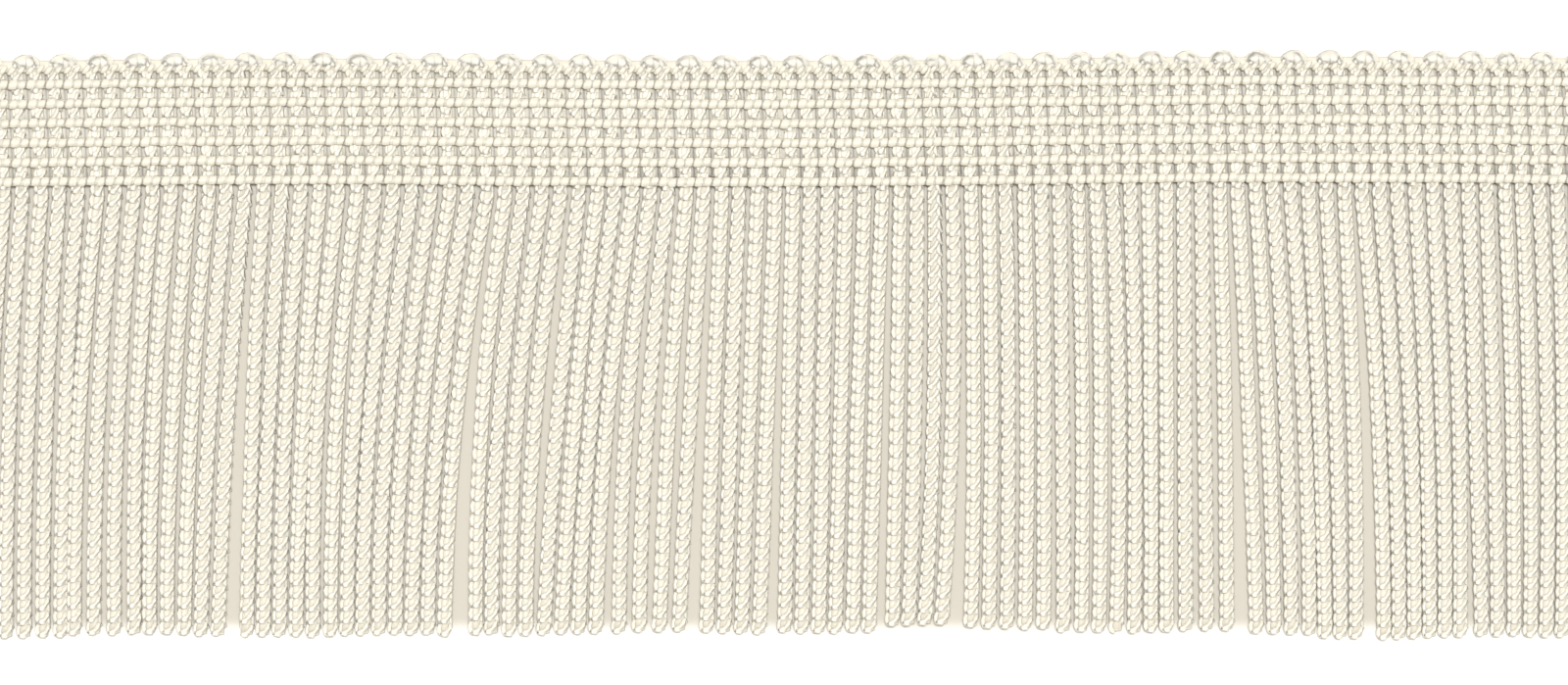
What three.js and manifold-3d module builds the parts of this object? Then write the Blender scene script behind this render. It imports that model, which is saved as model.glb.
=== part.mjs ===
// Chainette fringe trim, a cut length lying face up: a band of chainettes bound by lengthwise chain
// rows, with a looped upper edge, and the same chainettes hanging free below the band as the fringe.
// Millimetres. +X runs along the trim, +Y across it towards the looped edge, +Z up from the surface.

import * as THREE from 'three';
import Module from 'manifold-3d';

// Chainettes, counted from the left end. They stand a little wider apart in the left third.
const STRAND_COUNT = 92;
const WIDE_STRANDS = 34;
const WIDE_PITCH = 2.42;
const CLOSE_PITCH = 2.32;

// Heading: the band that is sewn or glued down
const ROW_COUNT = 7;
const ROW_PITCH = 2.54;
const FIRST_ROW = 1.0;
const TOP_ROW = 15.6;
const HEADING_HEIGHT = 17.05;
const HEADING_LEAN = 0.8;
const SCALLOP_DEPTH = 0.5;
const LOWER_EDGE_THICKNESS = 1.3;
const CREST_ON_STRAND = 2.6;
const CREST_BETWEEN = 2.2;
const VALLEY_ON_STRAND = 2.0;
const VALLEY_BETWEEN = 1.1;
const LOOP_THICKNESS = 1.7;
const LOOP_ROUNDING = 0.25;

// Slow wander of the heading up and down along the trim
const WANDER_SLOPE = 0.0022;
const WANDER_SWING = 0.22;
const WANDER_LENGTH = 128;

// Root strip that carries the strands, parted from the heading
const PIECE_GAP = 0.3;
const STRIP_WIDTH = 1.0;
const STRIP_THICKNESS = 1.3;
const ROOT_DEPTH = 0.6;
const STRANDS_PER_STRIP_STEP = 4;

// Strand section, flat below, and the steps along a strand
const STRAND_WIDTH = 1.8;
const STRAND_TOP_WIDTH = 1.25;
const STRAND_THICKNESS = 1.75;
const STRAND_STEPS = 7;
const SWAY = 0.04;
const SWAY_TURNS = 7;
const SWAY_CHANGE = 2.4;
const FOOT_SCATTER = 0.22;
const FOOT_CHANGE = 12.9898;

// The clumps that the strands fall into, from the left: how many strands, how far the first and the
// last of them lie to the right of their roots halfway down and at the foot, and how long they are
const CLUMPS = [
  { strands: 4, midFirst: -1.8, midLast: -1.75, footFirst: -2.2, footLast: -2.1, length: 58.5 },
  { strands: 4, midFirst: -1.7, midLast: -1.7, footFirst: -2.1, footLast: -2.3, length: 58.6 },
  { strands: 4, midFirst: -2.3, midLast: -2.0, footFirst: -2.95, footLast: -2.3, length: 58.5 },
  { strands: 5, midFirst: -2.25, midLast: -2.2, footFirst: -2.8, footLast: -3.5, length: 58.4 },
  { strands: 4, midFirst: -1.45, midLast: -2.15, footFirst: -2.2, footLast: -3.05, length: 58.3 },
  { strands: 3, midFirst: -2.65, midLast: -2.7, footFirst: -3.2, footLast: -3.65, length: 58.5 },
  { strands: 6, midFirst: -3.0, midLast: -3.95, footFirst: -4.0, footLast: -5.5, length: 58.5 },
  { strands: 4, midFirst: -3.05, midLast: -3.35, footFirst: -3.85, footLast: -4.55, length: 58.2 },
  { strands: 4, midFirst: -2.75, midLast: -3.25, footFirst: -4.6, footLast: -4.8, length: 58.1 },
  { strands: 4, midFirst: -3.05, midLast: -1.8, footFirst: -4.05, footLast: -3.2, length: 58.1 },
  { strands: 4, midFirst: -1.1, midLast: -1.0, footFirst: -1.95, footLast: -2.05, length: 58.2 },
  { strands: 6, midFirst: -0.5, midLast: -0.9, footFirst: -1.0, footLast: -1.65, length: 57.9 },
  { strands: 4, midFirst: -0.4, midLast: 0.0, footFirst: -0.9, footLast: -1.5, length: 57.2 },
  { strands: 5, midFirst: 0.4, midLast: 0.35, footFirst: 0.0, footLast: 0.2, length: 57.6 },
  { strands: 4, midFirst: 0.45, midLast: 0.8, footFirst: 0.55, footLast: 0.4, length: 57.8 },
  { strands: 3, midFirst: 0.6, midLast: 0.0, footFirst: 0.5, footLast: 0.0, length: 58.0 },
  { strands: 3, midFirst: 0.15, midLast: 0.65, footFirst: 0.3, footLast: 1.0, length: 57.9 },
  { strands: 4, midFirst: 1.5, midLast: 1.8, footFirst: 2.5, footLast: 2.45, length: 58.4 },
  { strands: 3, midFirst: 1.4, midLast: 1.25, footFirst: 2.2, footLast: 1.6, length: 58.6 },
  { strands: 6, midFirst: 2.1, midLast: 1.05, footFirst: 2.9, footLast: 1.25, length: 58.7 },
  { strands: 5, midFirst: 0.95, midLast: 1.0, footFirst: 1.75, footLast: 0.85, length: 58.7 },
  { strands: 3, midFirst: 0.8, midLast: 0.7, footFirst: 0.6, footLast: 0.5, length: 58.6 },
];

// Distance from the trim's left end to strand number n. A half between two numbers is their gap.
function strandPlace(n) {
  const wide = Math.min(n, WIDE_STRANDS);
  return (wide + 0.5) * WIDE_PITCH + (n - wide) * CLOSE_PITCH;
}

const TRIM_LENGTH = strandPlace(STRAND_COUNT - 0.5);

// One closed body from rings of points. Each ring turns counter-clockwise in the plane that flat
// gives for it, seen from the last ring towards the first, and both end rings are filled.
function ringBody(rings, flat) {
  const size = rings[0].length;
  const points = rings.flat();
  const faces = [];
  for (let a = 0; a < points.length - size; a++) {
    const b = (a + 1) % size === 0 ? a + 1 - size : a + 1;
    faces.push(a, b, a + size, b, b + size, a + size);
  }
  const outline = rings[0].map(flat);
  const lastRing = points.length - size;
  for (const [a, b, c] of THREE.ShapeUtils.triangulateShape(outline, [])) {
    const clockwise = THREE.ShapeUtils.isClockWise([outline[a], outline[b], outline[c]]);
    const [second, third] = clockwise ? [b, c] : [c, b];
    faces.push(a, second, third, lastRing + a, lastRing + third, lastRing + second);
  }
  const geometry = new THREE.BufferGeometry();
  const coordinates = points.flatMap((p) => [p.x, p.y, p.z]);
  geometry.setAttribute('position', new THREE.Float32BufferAttribute(coordinates, 3));
  geometry.setIndex(faces);
  return geometry;
}

// How far the heading and its lower edge wander up at a distance along the trim
function wander(along) {
  const x = along - TRIM_LENGTH / 2;
  return WANDER_SLOPE * x - WANDER_SWING * Math.cos((2 * Math.PI * x) / WANDER_LENGTH);
}

// Height of a chain row above the lower edge. The rows are evenly spaced, but for the top one, which
// the loops hold down.
function rowHeight(row) {
  return Math.min(FIRST_ROW + row * ROW_PITCH, TOP_ROW);
}

// The heading's section at a half step of the strand spacing: flat back, a rounded loop at the
// upper edge, and a crest for each chain row. It is lower where the section lies between strands.
function headingRing(halfStep) {
  const n = halfStep / 2 - 0.5;
  const along = strandPlace(n);
  const onStrand = halfStep % 2 === 1;
  const crest = onStrand ? CREST_ON_STRAND : CREST_BETWEEN;
  const valley = onStrand ? VALLEY_ON_STRAND : VALLEY_BETWEEN;
  const turn = Math.abs(Math.cos((Math.PI / 2) * (n - 0.5)));
  const top = HEADING_HEIGHT + SCALLOP_DEPTH * (2 * turn - 1);
  const section = [
    [0, 0],
    [top - LOOP_ROUNDING, 0],
    [top, LOOP_THICKNESS / 2],
    [top - LOOP_ROUNDING, LOOP_THICKNESS],
  ];
  for (let row = ROW_COUNT - 1; row > 0; row--) {
    const between = (rowHeight(row) + rowHeight(row - 1)) / 2;
    section.push([rowHeight(row), crest], [between, valley]);
  }
  section.push([FIRST_ROW, crest], [0, LOWER_EDGE_THICKNESS]);
  return section.map(([y, z]) => {
    const lean = (HEADING_LEAN * y) / HEADING_HEIGHT;
    return new THREE.Vector3(along - lean, y + wander(along), z);
  });
}

function headingBody() {
  const rings = [];
  for (let halfStep = 0; halfStep <= 2 * STRAND_COUNT; halfStep++) {
    rings.push(headingRing(halfStep));
  }
  return ringBody(rings, (p) => new THREE.Vector2(p.y, p.z));
}

// One strand: its drift from its root is the parabola through the clump's middle and foot values,
// with a slight sway of its own
function strandBody(n, mid, foot, length) {
  const rootY = wander(strandPlace(n)) - PIECE_GAP - ROOT_DEPTH;
  const footY = -length - FOOT_SCATTER * Math.sin(FOOT_CHANGE * n);
  const rings = [];
  for (let step = 0; step <= STRAND_STEPS; step++) {
    const s = step / STRAND_STEPS;
    const sway = SWAY * Math.sin(Math.PI * s) * Math.sin(SWAY_TURNS * s + SWAY_CHANGE * n);
    const x = strandPlace(n) + (4 * mid - foot) * s + (2 * foot - 4 * mid) * s * s + sway;
    const y = THREE.MathUtils.lerp(rootY, footY, s);
    rings.push([
      new THREE.Vector3(x - STRAND_WIDTH / 2, y, 0),
      new THREE.Vector3(x + STRAND_WIDTH / 2, y, 0),
      new THREE.Vector3(x + STRAND_TOP_WIDTH / 2, y, STRAND_THICKNESS),
      new THREE.Vector3(x - STRAND_TOP_WIDTH / 2, y, STRAND_THICKNESS),
    ]);
  }
  return ringBody(rings, (p) => new THREE.Vector2(p.x, p.z));
}

// The strip follows the heading's lower edge, with a step for every few strands
function stripBody() {
  const rings = [];
  for (let n = 0; n <= STRAND_COUNT; n += STRANDS_PER_STRIP_STEP) {
    const along = strandPlace(n - 0.5);
    const upper = wander(along) - PIECE_GAP;
    const lower = upper - STRIP_WIDTH;
    rings.push([
      new THREE.Vector3(along, lower, 0),
      new THREE.Vector3(along, upper, 0),
      new THREE.Vector3(along, upper, STRIP_THICKNESS),
      new THREE.Vector3(along, lower, STRIP_THICKNESS),
    ]);
  }
  return ringBody(rings, (p) => new THREE.Vector2(p.y, p.z));
}

const wasm = await Module();
wasm.setup();

function toSolid(geometry) {
  return new wasm.Manifold(new wasm.Mesh({
    numProp: 3,
    vertProperties: geometry.attributes.position.array,
    triVerts: Uint32Array.from(geometry.index.array),
  }));
}

function toGeometry(solid) {
  const mesh = solid.getMesh();
  const geometry = new THREE.BufferGeometry();
  geometry.setAttribute('position', new THREE.BufferAttribute(mesh.vertProperties, 3));
  geometry.setIndex(new THREE.BufferAttribute(mesh.triVerts, 1));
  return geometry;
}

// The root strip with every strand joined to it
function fringeBody() {
  let fringe = toSolid(stripBody());
  let n = 0;
  for (const clump of CLUMPS) {
    for (let k = 0; k < clump.strands; k++) {
      const share = k / (clump.strands - 1);
      const mid = THREE.MathUtils.lerp(clump.midFirst, clump.midLast, share);
      const foot = THREE.MathUtils.lerp(clump.footFirst, clump.footLast, share);
      fringe = fringe.add(toSolid(strandBody(n, mid, foot, clump.length)));
      n += 1;
    }
  }
  return toGeometry(fringe);
}

function piece(name, geometry, colour) {
  geometry.computeVertexNormals();
  const material = new THREE.MeshStandardMaterial({ color: colour, roughness: 0.55, metalness: 0 });
  const mesh = new THREE.Mesh(geometry, material);
  mesh.name = name;
  return mesh;
}

const trim = new THREE.Group();
trim.add(piece('heading', headingBody(), 0xe9e3d2));
trim.add(piece('fringe', fringeBody(), 0xebe5d5));

// The trim rests on z = 0, with the middle of its box above the origin
const box = new THREE.Box3().setFromObject(trim);
const middle = box.getCenter(new THREE.Vector3());
trim.position.set(-middle.x, -middle.y, -box.min.z);

export default trim;
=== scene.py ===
"""Chainette fringe trim lying face up: knitted chainettes hang from a bound, looped heading."""

import bpy
import numpy as np
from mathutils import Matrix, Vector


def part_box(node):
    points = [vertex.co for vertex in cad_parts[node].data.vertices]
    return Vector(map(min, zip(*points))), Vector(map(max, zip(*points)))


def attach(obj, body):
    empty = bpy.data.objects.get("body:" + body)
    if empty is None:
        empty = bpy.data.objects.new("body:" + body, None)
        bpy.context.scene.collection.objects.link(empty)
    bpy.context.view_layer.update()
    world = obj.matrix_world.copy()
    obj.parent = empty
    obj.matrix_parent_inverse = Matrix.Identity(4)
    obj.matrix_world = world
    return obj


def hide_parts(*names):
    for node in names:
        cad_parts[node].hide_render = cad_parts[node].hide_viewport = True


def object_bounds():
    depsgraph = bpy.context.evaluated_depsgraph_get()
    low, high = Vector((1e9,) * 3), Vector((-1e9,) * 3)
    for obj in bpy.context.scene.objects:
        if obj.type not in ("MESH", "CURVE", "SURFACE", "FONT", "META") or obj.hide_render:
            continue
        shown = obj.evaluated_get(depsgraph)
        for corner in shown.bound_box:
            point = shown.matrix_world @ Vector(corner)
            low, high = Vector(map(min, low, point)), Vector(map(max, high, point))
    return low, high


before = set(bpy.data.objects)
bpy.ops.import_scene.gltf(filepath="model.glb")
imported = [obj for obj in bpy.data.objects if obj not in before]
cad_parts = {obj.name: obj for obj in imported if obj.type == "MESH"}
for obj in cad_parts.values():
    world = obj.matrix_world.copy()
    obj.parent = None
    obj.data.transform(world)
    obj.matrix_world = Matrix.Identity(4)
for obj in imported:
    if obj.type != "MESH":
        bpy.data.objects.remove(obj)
cad_low, cad_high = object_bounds()

MM = 0.001
# The chance in the knitting, the same at each run
rng = np.random.default_rng(11)

# The trim's own sizes in millimetres, the same as the solids'
STRAND_COUNT = 92
WIDE_STRANDS = 34
WIDE_PITCH = 2.42
CLOSE_PITCH = 2.32
ROW_COUNT = 7
ROW_PITCH = 2.54
FIRST_ROW = 1.0
HEADING_HEIGHT = 17.05
HEADING_LEAN = 0.8
WANDER_SLOPE = 0.0022
WANDER_SWING = 0.22
WANDER_LENGTH = 128
ROOT_BELOW = 0.9
SWAY = 0.04
SWAY_TURNS = 7
SWAY_CHANGE = 2.4
FOOT_SCATTER = 0.22
FOOT_CHANGE = 12.9898
# How many points a strand's centre line has in the fringe, in the heading and in its turn
FRINGE_POINTS = 120
HEADING_POINTS = 100
TURN_POINTS = 16
# How many pieces the fringe and the heading's chainettes are made in
FRINGE_PARTS = 5
HEADING_PARTS = 2

# The clumps that the strands fall into, from the left: how many strands, how far the first and the
# last of them lie to the right of their roots halfway down and at the foot, and how long they are
CLUMP_COLUMNS = ("strands", "mid_first", "mid_last", "foot_first", "foot_last", "length")
CLUMPS = (
    (4, -1.8, -1.75, -2.2, -2.1, 58.5),
    (4, -1.7, -1.7, -2.1, -2.3, 58.6),
    (4, -2.3, -2.0, -2.95, -2.3, 58.5),
    (5, -2.25, -2.2, -2.8, -3.5, 58.4),
    (4, -1.45, -2.15, -2.2, -3.05, 58.3),
    (3, -2.65, -2.7, -3.2, -3.65, 58.5),
    (6, -3.0, -3.95, -4.0, -5.5, 58.5),
    (4, -3.05, -3.35, -3.85, -4.55, 58.2),
    (4, -2.75, -3.25, -4.6, -4.8, 58.1),
    (4, -3.05, -1.8, -4.05, -3.2, 58.1),
    (4, -1.1, -1.0, -1.95, -2.05, 58.2),
    (6, -0.5, -0.9, -1.0, -1.65, 57.9),
    (4, -0.4, 0.0, -0.9, -1.5, 57.2),
    (5, 0.4, 0.35, 0.0, 0.2, 57.6),
    (4, 0.45, 0.8, 0.55, 0.4, 57.8),
    (3, 0.6, 0.0, 0.5, 0.0, 58.0),
    (3, 0.15, 0.65, 0.3, 1.0, 57.9),
    (4, 1.5, 1.8, 2.5, 2.45, 58.4),
    (3, 1.4, 1.25, 2.2, 1.6, 58.6),
    (6, 2.1, 1.05, 2.9, 1.25, 58.7),
    (5, 0.95, 1.0, 1.75, 0.85, 58.7),
    (3, 0.8, 0.7, 0.6, 0.5, 58.6),
)

# Chainette: a tube knitted with three wales, each a chain of V-shaped stitches with two legs
WALES = 3
WALE_OFFSET = 0.35
STITCH = 1.65
STITCH_LEAN = 97
CORE_RADIUS = 0.69
LEG_HALF_WIDTH = 0.32
LEG_HALF_DEPTH = 0.21
SIDE_PRESS = 0.1
LEG_REACH = 1.14
FLATTEN = 0.82
# How high a strand's middle lies, as a multiple of its flattening
MIDDLE_RISE = 1.12
# How far the strand widens towards its cut foot
FOOT_FLARE = 0.1
FOOT_FLARE_LENGTH = 1.3
# Where the first leg may start below the foot, and where the core starts above it
FIRST_LEG = -0.12
CORE_FOOT = 0.35
# How square the tube's section is: the power of its superellipse, hanging free and in the heading
FREE_POWER = 3.3
BOUND_POWER = 3.2
FREE_WIDTH = 1.05
# How uneven the knitting is: chance spreads, as shares of a size, in degrees and in millimetres
PITCH_SPREAD = 0.03
REACH_SPREAD = 0.04
LEAN_SPREAD = 7
TWIST_SPREAD = 16
COURSE_TURN_SPREAD = 3
COURSE_SPREAD = 0.03
LEG_SPREAD = 0.03
# A stitch's two legs, read evenly from foot to top: the angle from the wale's middle in degrees, the
# distance from the tube's middle, the thickness and the painted light tone, how pale the yarn is
# painted: painted shade at the tucked ends and a painted highlight on the right leg's foot, the bump.
# The right leg's foot crosses over the left one's
LEG_COLUMNS = ("angle", "radius", "thickness", "painted_tone")
LEFT_LEG = (
    (12, 0.64, 0.5, 0.2),
    (38, 0.75, 0.85, 0.5),
    (51, 0.80, 1.05, 0.7),
    (55, 0.82, 1.1, 0.75),
    (52, 0.79, 1.05, 0.7),
    (38, 0.66, 0.8, 0.4),
)
RIGHT_LEG = (
    (-16, 0.80, 1.25, 1.0),
    (-4, 0.88, 1.4, 1.1),
    (22, 0.75, 0.8, 0.35),
    (42, 0.79, 0.9, 0.5),
    (53, 0.81, 0.95, 0.65),
    (57, 0.70, 0.8, 0.5),
)
# Where the rings of a leg lie between its ends: the first, the span and how they crowd to the foot
LEG_FIRST_RING = 0.08
LEG_RING_SPAN = 0.8
LEG_RING_CROWDING = 1.4
# How pale a leg is painted on its middle line, and how much paler on its ridge as a painted highlight
# and darker at its underside as painted shade
LEG_PAINTED_TONE = 0.72
LEG_PAINTED_TONE_RISE = 0.28
# How finely a leg is made, by how far up the tube its middle faces, which is a sine
LEG_MIDDLE = 35
DETAIL_COLUMNS = ("up_over", "up_to", "fringe_rings", "heading_rings", "sides")
DETAIL = (
    (0.35, 2, 5, 5, 5),
    (-0.35, 0.35, 3, 3, 4),
    (-2, -0.35, 3, 2, 3),
)
# The tube's core: its sides, how far its tips stand out, and the sine below which it is painted dark,
# as painted shade on its underside
CORE_SIDES = 8
CORE_TIP = 0.15
CORE_PAINTED_SHADE_BELOW = -0.1

# Heading: where the chainettes turn over, how they are drawn in, and the web between them
TOP_ROW = 15.6
TURN_START = 15.8
TURN_HEIGHT = 0.8
TURN_STEP = 0.31
TURN_STEPS = 6
TURN_FIRST_ANGLE = 0.1
LAST_RING = 0.01
HEADING_LIFT = 0.3
LIFT_REACH = 2.5
HEADING_WIDTH = 0.92
DRAW_IN_REACH = 0.8
DRAW_IN_START = 0.3
PINCH_REACH = 0.55
PINCH_WIDTH = 0.04
PINCH_DEPTH = 0.06
WEB_RADIUS = 0.16
# The web's painted light tone is low: painted shade at the bottom of the holes between columns
WEB_PAINTED_TONE = 0.1
WEB_DROP = 0.3
WEB_HALF_WIDTH = 1.5
WEB_START = 1.6
WEB_RINGS = 4
TURN_CORE_RADIUS = 1.02
# Painted light tones: of the heading's core, and of the turn, where the legs' painted shade is also
# lifted
HEADING_PAINTED_TONE = 0.8
TURN_PAINTED_TONE = 0.5
CROWN = 1.02
# The cord's painted light tone is low: painted shade under the beads and on the back
CORD_PAINTED_TONE = 0.1
# A binding row: beads over a flat cord, and what the sunk top row has instead
BEAD_RINGS = 5
BEAD_SIDES = 6
BEAD_PLACE = 0.245
BEAD_HALF_WIDTH = 0.70
BEAD_THICKNESS = 0.26
BEAD_RISE = 0.44
BEAD_REACH = 0.5
BEAD_SPRING = 1.72
BEAD_SLANT = 0.16
BEAD_SHRINK = 0.04
BEAD_PAST = 5
BEAD_END = 0.25
BEAD_FULLNESS = 0.2
BEAD_TIP_DROP = 0.12
# Painted light on the beads: darker flanks and tips as painted shade, paler tops as a painted highlight
BEAD_PAINTED_TONE = 0.12
BEAD_PAINTED_TONE_RISE = 0.15
BEAD_TIP_PAINTED_TONE = 0.1
BEAD_PLACE_SPREAD = 0.03
BEAD_HEIGHT_SPREAD = 0.04
BEAD_SIZE_SPREAD = 0.04
BEAD_RISE_SPREAD = 0.01
CORD_SIDES = 8
ROW_HALF_WIDTH = 0.56
ROW_HALF_DEPTH = 0.42
ROW_MIDDLE = 1.80
ROW_DIP = 0.12
TOP_BEAD_WIDTH = 0.55
TOP_BEAD_SLANT = 2.2
TOP_ROW_SINK = 0.88
TOP_CORD_MIDDLE = 15.98
TOP_CORD_HALF_WIDTH = 0.82
TOP_CORD_SINK = 0.72
TOP_CORD_FULLNESS = 1.3
# The binding yarn's runs along the back: five-sided tubes that zigzag a little
BACK_ZIGZAG = 0.12
BACK_HALF_WIDTH = 0.26
BACK_MIDDLE = 0.2
BACK_HALF_DEPTH = 0.18
BACK_SIDES = 5

# Colours: the yarn on its ridges, its painted shade in the hollows, the table, and the table's painted
# shade under the trim
YARN_COLOUR = (0.705, 0.674, 0.587)
YARN_PAINTED_SHADE = (0.585, 0.552, 0.47)
SHEEN_COLOUR = (1.0, 0.93, 0.8)
# How much the mottle adds to the painted light tone, and the tones at which the painted shade of the
# hollows and the ridge colour are reached
MOTTLE = 0.3
HOLLOW_TONE = 0.15
RIDGE_TONE = 1.15
TABLE_COLOUR = (0.76, 0.745, 0.715)
TABLE_PAINTED_SHADE = (0.445, 0.42, 0.365)
SHADE_FADE = 3.0
TABLE_REACH = 1.5
SKY_COLOUR = (1.0, 0.96, 0.88)
SKY_STRENGTH = 0.5
LAMP_STRENGTH = 4.25
LAMP_SOFTNESS = 14
LAMP_TILT = (-6, 1)

# The view: a long lens straight above, with this many millimetres across the picture's width
VIEW_WIDTH = 204.6
VIEW_PLACE = (110.18, -20.15)
CAMERA_HEIGHT = 2.0
SENSOR_WIDTH = 36.0



def strand_place(n):
    """Distance from the trim's left end to strand n, which may be a fraction: pitches added up."""
    wide = np.minimum(n, WIDE_STRANDS)
    return (wide + 0.5) * WIDE_PITCH + (n - wide) * CLOSE_PITCH


TRIM_LENGTH = strand_place(STRAND_COUNT - 0.5)


def wander(along):
    """How far the heading wanders up: a slope and one slow cosine wave along the trim."""
    x = along - TRIM_LENGTH / 2
    return WANDER_SLOPE * x - WANDER_SWING * np.cos(2 * np.pi * x / WANDER_LENGTH)


# The heading's right end and lowest point place the trim's own millimetres in the shared frame
heading_low, heading_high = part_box("heading")
gaps = strand_place(np.arange(-0.5, STRAND_COUNT, 0.5))
TRIM_PLACE = np.array(
    [heading_high[0] - TRIM_LENGTH * MM, heading_low[1] - wander(gaps).min() * MM, 0.0]
)


def clump_values():
    """Middle drift, foot drift and length of each strand, read evenly from first to last of a clump."""
    mid, foot, length = [], [], []
    for row in CLUMPS:
        clump = dict(zip(CLUMP_COLUMNS, row))
        share = np.linspace(0, 1, clump["strands"])
        mid.append(clump["mid_first"] + share * (clump["mid_last"] - clump["mid_first"]))
        foot.append(clump["foot_first"] + share * (clump["foot_last"] - clump["foot_first"]))
        length.append(np.full(clump["strands"], clump["length"]))
    return np.concatenate(mid), np.concatenate(foot), np.concatenate(length)


MID, FOOT, LENGTH = clump_values()


def row_heights():
    """Heights of the binding rows above the heading's lower edge: evenly spaced but for the top one."""
    rows = FIRST_ROW + ROW_PITCH * np.arange(ROW_COUNT)
    rows[-1] = TOP_ROW
    return rows


def strand_path(n):
    """Centre line of strand n from its foot to its turn's crown: rows x, y, z, width, depth, power.

    Below the heading it is the parabola through the root, middle and foot drifts, with a slight
    sway. In the heading it is a leaning straight line, which a bell curve pinches at each row, and
    the turn towards its partner is a quarter ellipse.
    """
    place = strand_place(n)
    rise = wander(place)
    s = np.linspace(1, 0, FRINGE_POINTS)
    sway = SWAY * np.sin(np.pi * s) * np.sin(SWAY_TURNS * s + SWAY_CHANGE * n)
    x_fringe = place + (4 * MID[n] - FOOT[n]) * s + (2 * FOOT[n] - 4 * MID[n]) * s**2 + sway
    root_y = rise - ROOT_BELOW
    foot_y = -LENGTH[n] - FOOT_SCATTER * np.sin(FOOT_CHANGE * n)
    y_fringe = root_y + (foot_y - root_y) * s

    up = np.linspace(0.0, TURN_START, HEADING_POINTS)
    x_heading = place - HEADING_LEAN * up / HEADING_HEIGHT
    y_heading = rise + up

    partner = n + 1 if n % 2 == 0 else n - 1
    half_gap = (strand_place(partner) - place) / 2
    turn = np.linspace(TURN_FIRST_ANGLE, np.pi / 2, TURN_POINTS)
    x_turn = x_heading[-1] + half_gap * (1 - np.cos(turn))
    y_turn = y_heading[-1] + TURN_HEIGHT * np.sin(turn)

    x = np.concatenate([x_fringe, x_heading, x_turn])
    y = np.concatenate([y_fringe, y_heading, y_turn])
    above = y - rise
    pinch = np.exp(-(((above[:, None] - row_heights()) / PINCH_REACH) ** 2)).sum(1)
    lift = HEADING_LIFT * np.clip((above + LIFT_REACH) / LIFT_REACH, 0, 1) ** 2
    bound = np.clip(above / DRAW_IN_REACH + DRAW_IN_START, 0, 1)
    bound[-TURN_POINTS:] *= np.cos(turn) ** 2
    width = FREE_WIDTH + (HEADING_WIDTH - FREE_WIDTH) * bound - PINCH_WIDTH * pinch
    depth = FLATTEN * (1 - PINCH_DEPTH * pinch)
    z = MIDDLE_RISE * depth + lift
    power = FREE_POWER + (BOUND_POWER - FREE_POWER) * bound
    return np.stack([x, y, z, width, depth, power])


def along_path(path, s):
    """Point, width, depth, power and side direction of a path at distances s, read by interpolation."""
    step = np.hypot(np.diff(path[0]), np.diff(path[1]))
    distance = np.concatenate([[0], np.cumsum(step)])
    slope = np.stack([np.gradient(path[0], distance), np.gradient(path[1], distance)])
    slope /= np.hypot(*slope)
    x, y, z, width, depth, power, tx, ty = (np.interp(s, distance, row) for row in (*path, *slope))
    # Past either end the path runs straight on
    beyond = np.where(s < 0, s, np.maximum(s - distance[-1], 0))
    return x + tx * beyond, y + ty * beyond, z, width, depth, power, ty, -tx


def path_length(path):
    """How long a path is, seen from above: its steps added up."""
    return np.hypot(np.diff(path[0]), np.diff(path[1])).sum()


def on_tube(path, s, angle, radius, spread=1.0):
    """Points at an angle and radius round a path: side times cosine, spread, plus up times sine.

    The radius is that of a superellipse, so the section can be squarer than round.
    """
    x, y, z, width, depth, power, side_x, side_y = along_path(path, s)
    cosine, sine = np.cos(angle), np.sin(angle)
    radius = radius * (np.abs(cosine) ** power + np.abs(sine) ** power) ** (-1 / power)
    across = radius * cosine * width * spread
    return np.stack([x + across * side_x, y + across * side_y, z + radius * sine * depth], -1)


def spindle_faces(stations, sides):
    """Faces of a closed spindle: quads between its rings and triangles to a tip at either end."""
    ring, side = np.meshgrid(np.arange(stations - 1), np.arange(sides), indexing="ij")
    a = (ring * sides + side).ravel()
    b = (ring * sides + (side + 1) % sides).ravel()
    quads = np.stack([a, b, b + sides, a + sides], 1)
    j = np.arange(sides)
    k = (j + 1) % sides
    first_tip = stations * sides
    low = np.stack([np.full(sides, first_tip), k, j], 1)
    last = (stations - 1) * sides
    high = np.stack([np.full(sides, first_tip + 1), last + j, last + k], 1)
    return quads, np.concatenate([low, high])


def repeated(faces, copies, size):
    """The same faces for each copy of a shape of size points."""
    return (faces[None] + (np.arange(copies) * size)[:, None, None]).reshape(-1, faces.shape[1])


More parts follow.
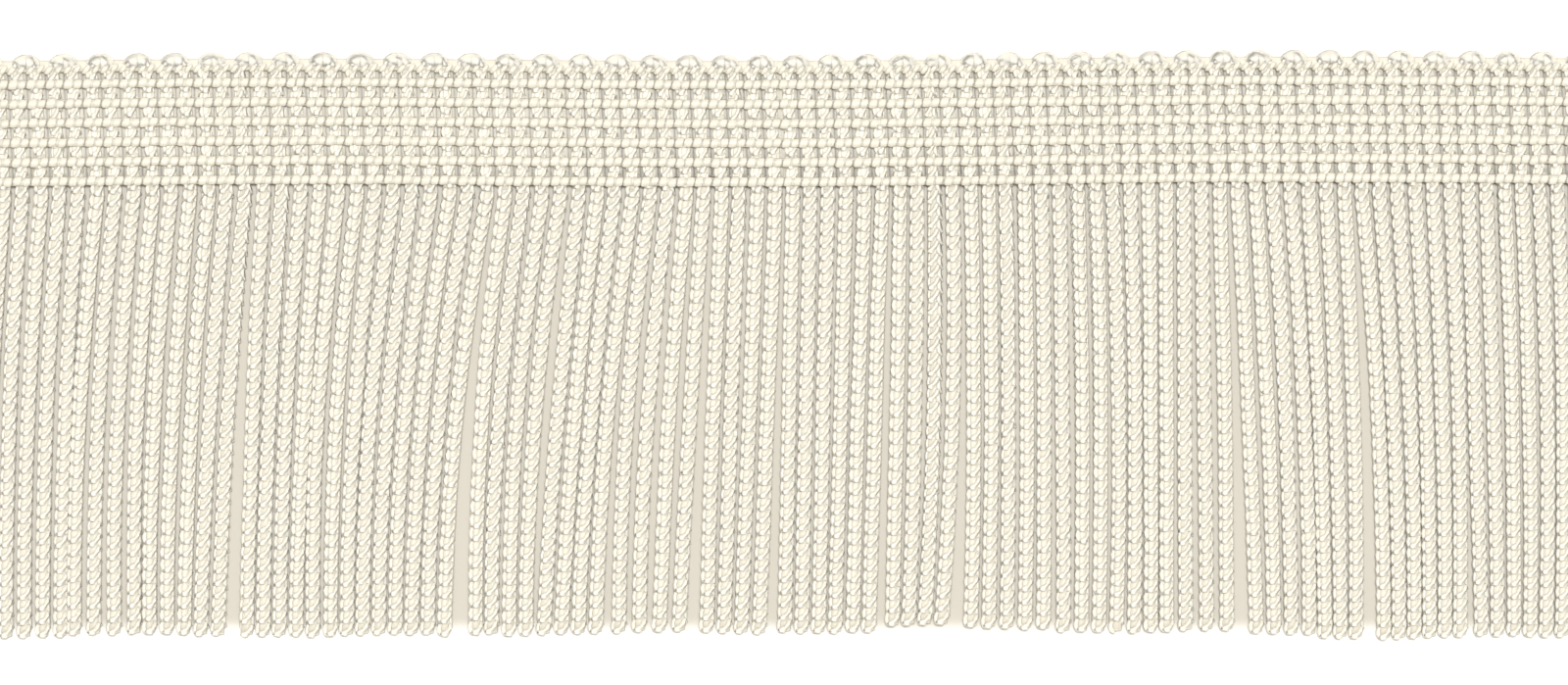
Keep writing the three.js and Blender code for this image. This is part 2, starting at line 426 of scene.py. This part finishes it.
class Yarn:
    """Points, faces and yarn coordinates that are gathered and then made one mesh."""

    def __init__(self):
        """An empty gathering."""
        self.points, self.quads, self.tris, self.uvs = [], [], [], []
        self.count = 0

    def add(self, points, quads, tris, uv):
        """Take in one more shape, whose faces count its own points from 0."""
        self.points.append(points.reshape(-1, 3))
        self.quads.append(quads + self.count)
        self.tris.append(tris + self.count)
        self.uvs.append(uv.reshape(-1, 2))
        self.count += self.points[-1].shape[0]

    def mesh(self, name, material, slot):
        """One smooth piece of all the shapes, moved from the trim's millimetres to the frame."""
        points = np.concatenate(self.points) * MM + TRIM_PLACE
        quads, tris = np.concatenate(self.quads), np.concatenate(self.tris)
        corners = np.concatenate([quads.ravel(), tris.ravel()]).astype(np.int32)
        starts = np.concatenate(
            [np.arange(len(quads)) * 4, len(quads) * 4 + np.arange(len(tris)) * 3]
        ).astype(np.int32)
        mesh = bpy.data.meshes.new(name)
        mesh.vertices.add(len(points))
        mesh.vertices.foreach_set("co", points.astype(np.float32).ravel())
        mesh.loops.add(len(corners))
        mesh.loops.foreach_set("vertex_index", corners)
        mesh.polygons.add(len(starts))
        mesh.polygons.foreach_set("loop_start", starts)
        mesh.polygons.foreach_set("use_smooth", np.ones(len(starts), bool))
        uv = mesh.uv_layers.new(name="yarn")
        uv.data.foreach_set("uv", np.concatenate(self.uvs)[corners].astype(np.float32).ravel())
        mesh.update(calc_edges=True)
        mesh.validate()
        piece = bpy.data.objects.new(name, mesh)
        bpy.context.scene.collection.objects.link(piece)
        mesh.materials.append(material)
        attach(piece, "root")
        return piece


def leg_values(side, t, column):
    """A column of the leg tables read at t: the left leg's where side is 1 and else the right leg's."""
    knots = np.linspace(0, 1, len(LEFT_LEG))
    k = LEG_COLUMNS.index(column)
    left, right = (np.interp(t, knots, [row[k] for row in leg]) for leg in (LEFT_LEG, RIGHT_LEG))
    return np.where(side[:, None] > 0, left, right)


def stitch_legs(path, base, wale_angle, side, reach, press, calm, stations, sides):
    """Stitch legs on a tube: spindles that climb from a V's point to its side, as the leg tables say.

    base, wale_angle, side, reach, press and calm hold one value for each leg. A section is an
    ellipse, set square to the leg's middle line as it would lie on the unrolled tube. press scales
    its distance from the tube's middle, and calm is how much of the painted shade off the leg's ridge
    is lifted. Each leg carries a painted light tone: painted shade on its flanks and tucked ends, and a
    painted highlight on its ridge and bump.
    The tube flares at the strand's foot by a bell curve.
    """

    def flat(ringed, tips):
        return np.concatenate([ringed.reshape(len(base), -1), tips], 1)

    t = LEG_FIRST_RING + LEG_RING_SPAN * np.linspace(0, 1, stations) ** LEG_RING_CROWDING
    ends = np.array([0.0, 1.0])
    centre = leg_values(side, t, "radius")
    thick = leg_values(side, t, "thickness")[:, :, None]
    turn = side[:, None] * np.radians(leg_values(side, t, "angle"))
    phi = -np.pi / 2 + np.arange(sides) * 2 * np.pi / sides + (np.pi / sides if sides % 2 else 0)
    wide = LEG_HALF_WIDTH * thick * np.cos(phi)
    deep = LEG_HALF_DEPTH * np.sqrt(thick) * np.sin(phi)
    swing = centre * np.gradient(turn, t, axis=1)
    steep = np.hypot(swing, reach[:, None])
    along = (base[:, None] + reach[:, None] * t)[:, :, None] - (swing / steep)[:, :, None] * wide
    angle = (wale_angle[:, None] + turn)[:, :, None]
    angle = angle + (reach[:, None] / steep / centre)[:, :, None] * wide
    radius = centre[:, :, None] + deep
    tip_along = base[:, None] + reach[:, None] * ends
    tip_angle = wale_angle[:, None] + side[:, None] * np.radians(leg_values(side, ends, "angle"))
    tip_radius = leg_values(side, ends, "radius")
    s, a, r = flat(along, tip_along), flat(angle, tip_angle), flat(radius, tip_radius)
    flare = 1 + FOOT_FLARE * np.exp(-((s / FOOT_FLARE_LENGTH) ** 2))
    points = on_tube(path, s, a, r * flare * press[:, None])
    u = np.concatenate([np.repeat(t, sides), ends])
    # Painted light: the leg's tone, paler on its ridge as a painted highlight and darker on its flanks
    # as painted shade
    painted_tone = leg_values(side, t, "painted_tone")[:, :, None] * (LEG_PAINTED_TONE + LEG_PAINTED_TONE_RISE * np.sin(phi))
    v = flat(painted_tone, leg_values(side, ends, "painted_tone") / 2)
    v = 1 - (1 - v) * (1 - calm[:, None])
    uv = np.stack([np.broadcast_to(u, v.shape), v], -1)
    quads, tris = spindle_faces(stations, sides)
    count, size = len(base), stations * sides + 2
    return points, repeated(quads, count, size), repeated(tris, count, size), uv


def core_tube(path, s, radius, spread, painted_tone):
    """The inside of the knitted tube: a closed spindle of eight sides with a ring at each distance s.

    radius, spread and the painted light tone hold one value for each ring. The tone is how pale the
    yarn is painted at the ring's upper half; its underside is painted dark, as painted shade.
    """
    stations, sides = len(s), CORE_SIDES
    turned = -np.arange(sides) * 2 * np.pi / sides
    angle = np.tile(turned, stations)
    ring = on_tube(path, np.repeat(s, sides), angle, np.repeat(radius, sides), np.repeat(spread, sides))
    tips = on_tube(path, np.array([s[0] - CORE_TIP, s[-1] + CORE_TIP]), np.zeros(2), 0.0)
    points = np.concatenate([ring, tips])
    v = np.concatenate([(painted_tone[:, None] * (np.sin(turned) > CORE_PAINTED_SHADE_BELOW)).ravel(), painted_tone[[0, -1]]])
    uv = np.stack([np.zeros(len(points)), v], -1)
    quads, tris = spindle_faces(stations, sides)
    return points, quads, tris, uv


def knit_strand(n, fringe, heading):
    """One chainette, split at the heading's lower edge between the fringe and the heading.

    Stitch j of wale k starts at (j - k * WALE_OFFSET) pitches, so the courses climb round the tube.
    Pitch, lean, twist and each leg's reach vary by chance.
    """
    path = strand_path(n)
    total = path_length(path)
    stitches = int(round(total / (STITCH * (1 + PITCH_SPREAD * rng.standard_normal()))))
    pitch = total / stitches
    phase = np.radians(STITCH_LEAN + rng.normal(0, LEAN_SPREAD))
    twist = np.radians(rng.normal(0, TWIST_SPREAD)) / total
    course = np.arange(-2, stitches)
    j, wale, side = np.meshgrid(course, np.arange(WALES), [-1.0, 1.0], indexing="ij")
    j, wale, side = j.ravel(), wale.ravel(), side.ravel()
    uneven = np.cumsum(COURSE_SPREAD * rng.standard_normal(len(course)))
    uneven -= np.linspace(0, uneven[-1], len(course))
    offset = (wale * WALE_OFFSET) % 1
    base = (j + offset) * pitch + uneven[j + 2] + LEG_SPREAD * rng.standard_normal(len(j))
    turn = COURSE_TURN_SPREAD * rng.standard_normal(len(course))
    angle = phase + wale * 2 * np.pi / WALES + twist * base + np.radians(turn[j + 2])
    reach = pitch * LEG_REACH * (1 + REACH_SPREAD * rng.standard_normal(len(j)))
    # Legs at the tube's sides lie closer in: fully up to a sine of a quarter, and fading to three
    up = np.sin(angle + side * np.radians(LEG_MIDDLE))
    press = 1 - SIDE_PRESS * np.clip(1.5 - 2 * np.abs(np.sin(angle)), 0, 1)
    turn_start = total - TURN_STEPS * TURN_STEP
    # In the turn the painted shade off the legs' ridges is lifted
    calm = TURN_PAINTED_TONE * np.clip((base - turn_start) / TURN_STEP, 0, 1)
    whole = (base > FIRST_LEG) & (base < total - CROWN)
    root = LENGTH[n]
    for piece, here, rings in (
        (fringe, base < root, "fringe_rings"),
        (heading, base >= root, "heading_rings"),
    ):
        for row in DETAIL:
            detail = dict(zip(DETAIL_COLUMNS, row))
            pick = here & whole & (up > detail["up_over"]) & (up <= detail["up_to"])
            if pick.any():
                legs = (values[pick] for values in (base, angle, side, reach, press, calm))
                piece.add(*stitch_legs(path, *legs, detail[rings], detail["sides"]))
    knit_cores(path, root, turn_start, total, fringe, heading)


def knit_cores(path, root, turn_start, total, fringe, heading):
    """The core inside a strand, in the fringe and in the heading, and the web beside it.

    In the heading the core thickens towards the turn, where no legs cover it. The web is a flat
    spindle just below mid height that joins the strand to its neighbours, as binding yarn does.
    """
    below = np.linspace(CORE_FOOT, root, int(root / STITCH))
    even = np.ones(len(below))
    # The fringe's core is painted wholly in the yarn's shade: painted shade in the pits between the
    # legs
    fringe.add(*core_tube(path, below, CORE_RADIUS * even, even, 0 * even))
    straight = np.linspace(root, turn_start, int((turn_start - root) / STITCH), endpoint=False)
    turned = turn_start + TURN_STEP * np.arange(TURN_STEPS + 1)
    # The last two rings lie close together, so that the shading doesn't round the cut end
    bound = np.concatenate([straight, turned, [total + LAST_RING]])
    into = np.clip((bound - root) / ROOT_BELOW, 0, 1)
    over = np.clip((bound - turn_start) / (2 * TURN_STEP), 0, 1)
    radius = CORE_RADIUS + (TURN_CORE_RADIUS - CORE_RADIUS) * over
    # Painted light tone of the heading's core: dark at the root as painted shade, paler over the
    # heading, less pale over the turn
    painted_tone = into * (HEADING_PAINTED_TONE + (TURN_PAINTED_TONE - HEADING_PAINTED_TONE) * over)
    heading.add(*core_tube(path, bound, radius, np.ones(len(bound)), painted_tone))
    web = np.linspace(root + WEB_START * ROOT_BELOW, turn_start, WEB_RINGS)
    flat = np.ones(WEB_RINGS)
    spread = WEB_HALF_WIDTH / WEB_RADIUS / HEADING_WIDTH * flat
    low = path.copy()
    low[2] -= WEB_DROP
    # The web is painted dark, as painted shade in the holes between the columns
    heading.add(*core_tube(low, web, WEB_RADIUS * flat, spread, WEB_PAINTED_TONE * flat))


def bind_rows(rows):
    """Binding rows: two slanted beads over each chainette, arches from the upper side to the lower.

    A bead's middle line is a half ellipse across the row, and its section an ellipse, which thins
    towards both ends as a root of the sine. The top row's beads are narrow strokes.
    """
    stations, sides = BEAD_RINGS, BEAD_SIDES
    n = np.arange(STRAND_COUNT)
    grid = np.meshgrid(np.arange(ROW_COUNT), n, [-1, 1], indexing="ij")
    row, strand, half = (values.ravel() for values in grid)
    count = len(row)
    along = strand_place(strand + BEAD_PLACE * half) + BEAD_PLACE_SPREAD * rng.standard_normal(count)
    above = row_heights()[row] + BEAD_HEIGHT_SPREAD * rng.standard_normal(count)
    size = (1 - BEAD_SHRINK * half) * (1 + BEAD_SIZE_SPREAD * rng.standard_normal(count))
    top = row == ROW_COUNT - 1
    psi = np.linspace(np.radians(-BEAD_PAST), np.radians(180 + BEAD_PAST), stations)
    phi = -np.pi / 2 + (np.arange(sides) + 0.5) * 2 * np.pi / sides
    thick = np.sin(np.linspace(BEAD_END, np.pi - BEAD_END, stations)) ** BEAD_FULLNESS
    across = BEAD_HALF_WIDTH * thick[:, None] * np.cos(phi)
    out = BEAD_THICKNESS * thick[:, None] * np.sin(phi)
    y = (BEAD_REACH + out) * np.cos(psi)[:, None]
    z = BEAD_SPRING + (BEAD_RISE + out) * np.sin(psi)[:, None]
    slant = np.broadcast_to(BEAD_SLANT * np.cos(psi)[:, None], across.shape)
    ends = psi[[0, -1]]
    across = np.concatenate([across.ravel(), [0, 0]])
    slant = np.concatenate([slant.ravel(), BEAD_SLANT * np.cos(ends)])
    y = np.concatenate([y.ravel(), BEAD_REACH * np.cos(ends)])
    z = np.concatenate([z.ravel(), BEAD_SPRING + BEAD_RISE * np.sin(ends) - BEAD_TIP_DROP])
    x = across * np.where(top, TOP_BEAD_WIDTH, 1)[:, None]
    x = x + slant * np.where(top, TOP_BEAD_SLANT, 1)[:, None]
    rise = 1 + BEAD_RISE_SPREAD * rng.standard_normal((count, 1))
    scale = size[:, None]
    lean = HEADING_LEAN * (above[:, None] + y * scale) / HEADING_HEIGHT
    points = np.stack(
        [
            along[:, None] + x * scale - lean,
            wander(along)[:, None] + above[:, None] + y * scale,
            z * np.where(top, TOP_ROW_SINK, 1)[:, None] * rise,
        ],
        -1,
    )
    u = np.concatenate([np.repeat(np.linspace(0, 1, stations), sides), [0, 1]])
    # Painted light tone of each bead: paler on its top, darker on its flanks and tips
    painted_tone = np.tile(BEAD_PAINTED_TONE + BEAD_PAINTED_TONE_RISE * np.sin(phi), stations)
    v = np.concatenate([painted_tone, [BEAD_TIP_PAINTED_TONE, BEAD_TIP_PAINTED_TONE]])
    uv = np.broadcast_to(np.stack([u, v], -1), (count, len(u), 2))
    quads, tris = spindle_faces(stations, sides)
    each = stations * sides + 2
    rows.add(points, repeated(quads, count, each), repeated(tris, count, each), uv)


def cord_along(rows, above, half_width, middle, half_depth, sides):
    """A tube along the trim: at each ring an ellipse, with its own height above the edge and middle."""
    along = strand_place(np.arange(-0.5, STRAND_COUNT, 0.5))
    stations = len(along)
    angle = -np.arange(sides) * 2 * np.pi / sides
    y = above[:, None] + half_width * np.cos(angle)
    x = along[:, None] - HEADING_LEAN * y / HEADING_HEIGHT
    z = middle[:, None] + half_depth * np.sin(angle)
    ring = np.stack([x, y + wander(along)[:, None], z], -1).reshape(-1, 3)
    tips = ring.reshape(stations, sides, 3)[[0, -1]].mean(1)
    # The cord is painted in a low tone: painted shade under the beads and on the back
    uv = np.full((len(ring) + 2, 2), CORD_PAINTED_TONE)
    quads, tris = spindle_faces(stations, sides)
    rows.add(np.concatenate([ring, tips]), quads[:, ::-1], tris[:, ::-1], uv)


def lay_cords(cords, rows):
    """The binding yarn under the beads, which dips between chainettes, and its runs along the back."""
    even = np.where(np.arange(2 * STRAND_COUNT + 1) % 2, 1, -1)
    dip = ROW_MIDDLE + ROW_DIP / 2 * even
    for above in row_heights()[:-1]:
        cord_along(cords, above + 0 * even, ROW_HALF_WIDTH, dip, ROW_HALF_DEPTH, CORD_SIDES)
    top = TOP_CORD_MIDDLE + 0 * even
    top_depth = TOP_CORD_FULLNESS * ROW_HALF_DEPTH
    cord_along(cords, top, TOP_CORD_HALF_WIDTH, dip * TOP_CORD_SINK, top_depth, CORD_SIDES)
    back = BACK_MIDDLE + 0 * even
    for above in row_heights():
        zigzag = above + BACK_ZIGZAG * even
        cord_along(rows, zigzag, BACK_HALF_WIDTH, back, BACK_HALF_DEPTH, BACK_SIDES)


def yarn_material(name, colour, painted_shade):
    """Silky filament yarn: fine streaks, a faint mottle and a soft sheen, with painted light: paler
    where it stands out as a painted highlight, darker in its hollows as painted shade.

    The yarn coordinates run along a leg, and from 0 in its hollows to 1 on its ridge, giving the
    painted light tone.
    """
    material = bpy.data.materials.new(name)
    material.use_nodes = True
    nodes, links = material.node_tree.nodes, material.node_tree.links
    surface = nodes["Principled BSDF"]
    surface.inputs["Roughness"].default_value = 0.5
    surface.inputs["Specular IOR Level"].default_value = 0.25
    surface.inputs["Sheen Weight"].default_value = 0.08
    surface.inputs["Sheen Roughness"].default_value = 0.4
    surface.inputs["Sheen Tint"].default_value = (*SHEEN_COLOUR, 1)
    surface.inputs["Subsurface Weight"].default_value = 0.7
    surface.inputs["Subsurface Radius"].default_value = (1.0, 1.0, 1.0)
    surface.inputs["Subsurface Scale"].default_value = 0.0007

    yarn = nodes.new("ShaderNodeTexCoord")
    stretch = nodes.new("ShaderNodeMapping")
    stretch.inputs["Scale"].default_value = (1.5, 9.0, 1.0)
    links.new(yarn.outputs["UV"], stretch.inputs["Vector"])
    filaments = nodes.new("ShaderNodeTexNoise")
    filaments.inputs["Scale"].default_value = 2.0
    filaments.inputs["Detail"].default_value = 3.0
    links.new(stretch.outputs["Vector"], filaments.inputs["Vector"])
    bump = nodes.new("ShaderNodeBump")
    bump.inputs["Strength"].default_value = 0.2
    bump.inputs["Distance"].default_value = 0.00006
    links.new(filaments.outputs["Fac"], bump.inputs["Height"])
    links.new(bump.outputs["Normal"], surface.inputs["Normal"])

    place = nodes.new("ShaderNodeTexCoord")
    mottle = nodes.new("ShaderNodeTexNoise")
    mottle.inputs["Scale"].default_value = 260.0
    mottle.inputs["Detail"].default_value = 2.0
    links.new(place.outputs["Object"], mottle.inputs["Vector"])
    # Painted light: the yarn coordinate's tone plus the mottle mixes from the painted shade to the
    # ridge colour
    axes = nodes.new("ShaderNodeSeparateXYZ")
    links.new(yarn.outputs["UV"], axes.inputs["Vector"])
    mottle_and_painted_light = nodes.new("ShaderNodeMath")
    mottle_and_painted_light.operation = "MULTIPLY_ADD"
    mottle_and_painted_light.inputs[1].default_value = MOTTLE
    links.new(mottle.outputs["Fac"], mottle_and_painted_light.inputs[0])
    links.new(axes.outputs["Y"], mottle_and_painted_light.inputs[2])
    blend = nodes.new("ShaderNodeMapRange")
    blend.inputs["From Min"].default_value = HOLLOW_TONE
    blend.inputs["From Max"].default_value = RIDGE_TONE
    links.new(mottle_and_painted_light.outputs["Value"], blend.inputs["Value"])
    tint = nodes.new("ShaderNodeMix")
    tint.data_type = "RGBA"
    tint.inputs["A"].default_value = (*painted_shade, 1)
    tint.inputs["B"].default_value = (*colour, 1)
    links.new(blend.outputs["Result"], tint.inputs["Factor"])
    links.new(tint.outputs["Result"], surface.inputs["Base Color"])
    return material


def make_trim():
    """All yarn pieces: the fringe and the heading's chainettes in parts, the cords and the rows."""
    fringe_yarn = yarn_material("fringe_yarn", YARN_COLOUR, YARN_PAINTED_SHADE)
    heading_yarn = yarn_material("heading_yarn", YARN_COLOUR, YARN_PAINTED_SHADE)
    fringe_parts = [Yarn() for _ in range(FRINGE_PARTS)]
    heading_parts = [Yarn() for _ in range(HEADING_PARTS)]
    for n in range(STRAND_COUNT):
        fringe = fringe_parts[n * FRINGE_PARTS // STRAND_COUNT]
        heading = heading_parts[n * HEADING_PARTS // STRAND_COUNT]
        knit_strand(n, fringe, heading)
    cords, rows = Yarn(), Yarn()
    bind_rows(rows)
    lay_cords(cords, rows)

    for k, part in enumerate(fringe_parts):
        piece = part.mesh(f"fringe_strands_{k + 1}", fringe_yarn, "fringe_yarn")
        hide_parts("fringe")
    for k, part in enumerate(heading_parts):
        piece = part.mesh(f"heading_chainettes_{k + 1}", heading_yarn, "heading_yarn")
        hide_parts("heading")
    laid = cords.mesh("binding_cords", heading_yarn, "heading_yarn")
    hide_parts("heading")
    binding = rows.mesh("binding_rows", heading_yarn, "heading_yarn")
    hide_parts("heading")


def make_table():
    """The pale surface that the trim lies on, with painted shade under the trim: darker and warmer
    there.

    The painted shade is the product of two smooth steps, along and across, that fade at the trim's
    edges.
    """
    mesh = bpy.data.meshes.new("table")
    r = TABLE_REACH
    mesh.from_pydata([(-r, -r, 0), (r, -r, 0), (r, r, 0), (-r, r, 0)], [], [(0, 1, 2, 3)])
    table = bpy.data.objects.new("table", mesh)
    bpy.context.scene.collection.objects.link(table)
    paint = bpy.data.materials.new("table_paint")
    paint.use_nodes = True
    nodes, links = paint.node_tree.nodes, paint.node_tree.links
    surface = nodes["Principled BSDF"]
    surface.inputs["Roughness"].default_value = 0.8
    painted_tone = nodes.new("ShaderNodeMix")
    painted_tone.data_type = "RGBA"
    painted_tone.inputs["A"].default_value = (*TABLE_COLOUR, 1)
    painted_tone.inputs["B"].default_value = (*TABLE_PAINTED_SHADE, 1)
    place = nodes.new("ShaderNodeTexCoord")
    axes = nodes.new("ShaderNodeSeparateXYZ")
    links.new(place.outputs["Object"], axes.inputs["Vector"])
    # Painted shade under the trim: the mix factor is 1 under the trim and fades to 0 beyond its edges
    under = nodes.new("ShaderNodeMath")
    under.operation = "MULTIPLY"
    for socket, axis, half in ((0, "X", cad_high[0]), (1, "Y", cad_high[1])):
        distance = nodes.new("ShaderNodeMath")
        distance.operation = "ABSOLUTE"
        links.new(axes.outputs[axis], distance.inputs[0])
        fade = nodes.new("ShaderNodeMapRange")
        fade.interpolation_type = "SMOOTHSTEP"
        fade.inputs["From Min"].default_value = half
        fade.inputs["From Max"].default_value = half - SHADE_FADE * MM
        links.new(distance.outputs["Value"], fade.inputs["Value"])
        links.new(fade.outputs["Result"], under.inputs[socket])
    links.new(under.outputs["Value"], painted_tone.inputs["Factor"])
    links.new(painted_tone.outputs["Result"], surface.inputs["Base Color"])
    mesh.materials.append(paint)


def make_light():
    """Soft studio light: an even sky and one broad lamp beyond the looped edge."""
    world = bpy.data.worlds.new("sky")
    bpy.context.scene.world = world
    world.use_nodes = True
    sky = world.node_tree.nodes["Background"]
    sky.inputs["Color"].default_value = (*SKY_COLOUR, 1)
    sky.inputs["Strength"].default_value = SKY_STRENGTH
    lamp = bpy.data.lights.new("broad_lamp", "SUN")
    lamp.energy = LAMP_STRENGTH
    lamp.angle = np.radians(LAMP_SOFTNESS)
    holder = bpy.data.objects.new("broad_lamp", lamp)
    holder.rotation_euler = (*np.radians(LAMP_TILT), 0)
    bpy.context.scene.collection.objects.link(holder)


def make_camera():
    """A long lens straight above the middle of the view, as far up as the lens is narrow."""
    camera = bpy.data.cameras.new("camera")
    camera.sensor_width = SENSOR_WIDTH
    camera.lens = SENSOR_WIDTH * CAMERA_HEIGHT / (VIEW_WIDTH * MM)
    camera.clip_end = 20
    holder = bpy.data.objects.new("camera", camera)
    x, y = np.array(VIEW_PLACE) * MM + TRIM_PLACE[:2]
    holder.location = (x, y, CAMERA_HEIGHT)
    bpy.context.scene.collection.objects.link(holder)
    bpy.context.scene.camera = holder


make_trim()
make_table()
make_light()
make_camera()
bpy.context.scene.view_settings.view_transform = "Standard"
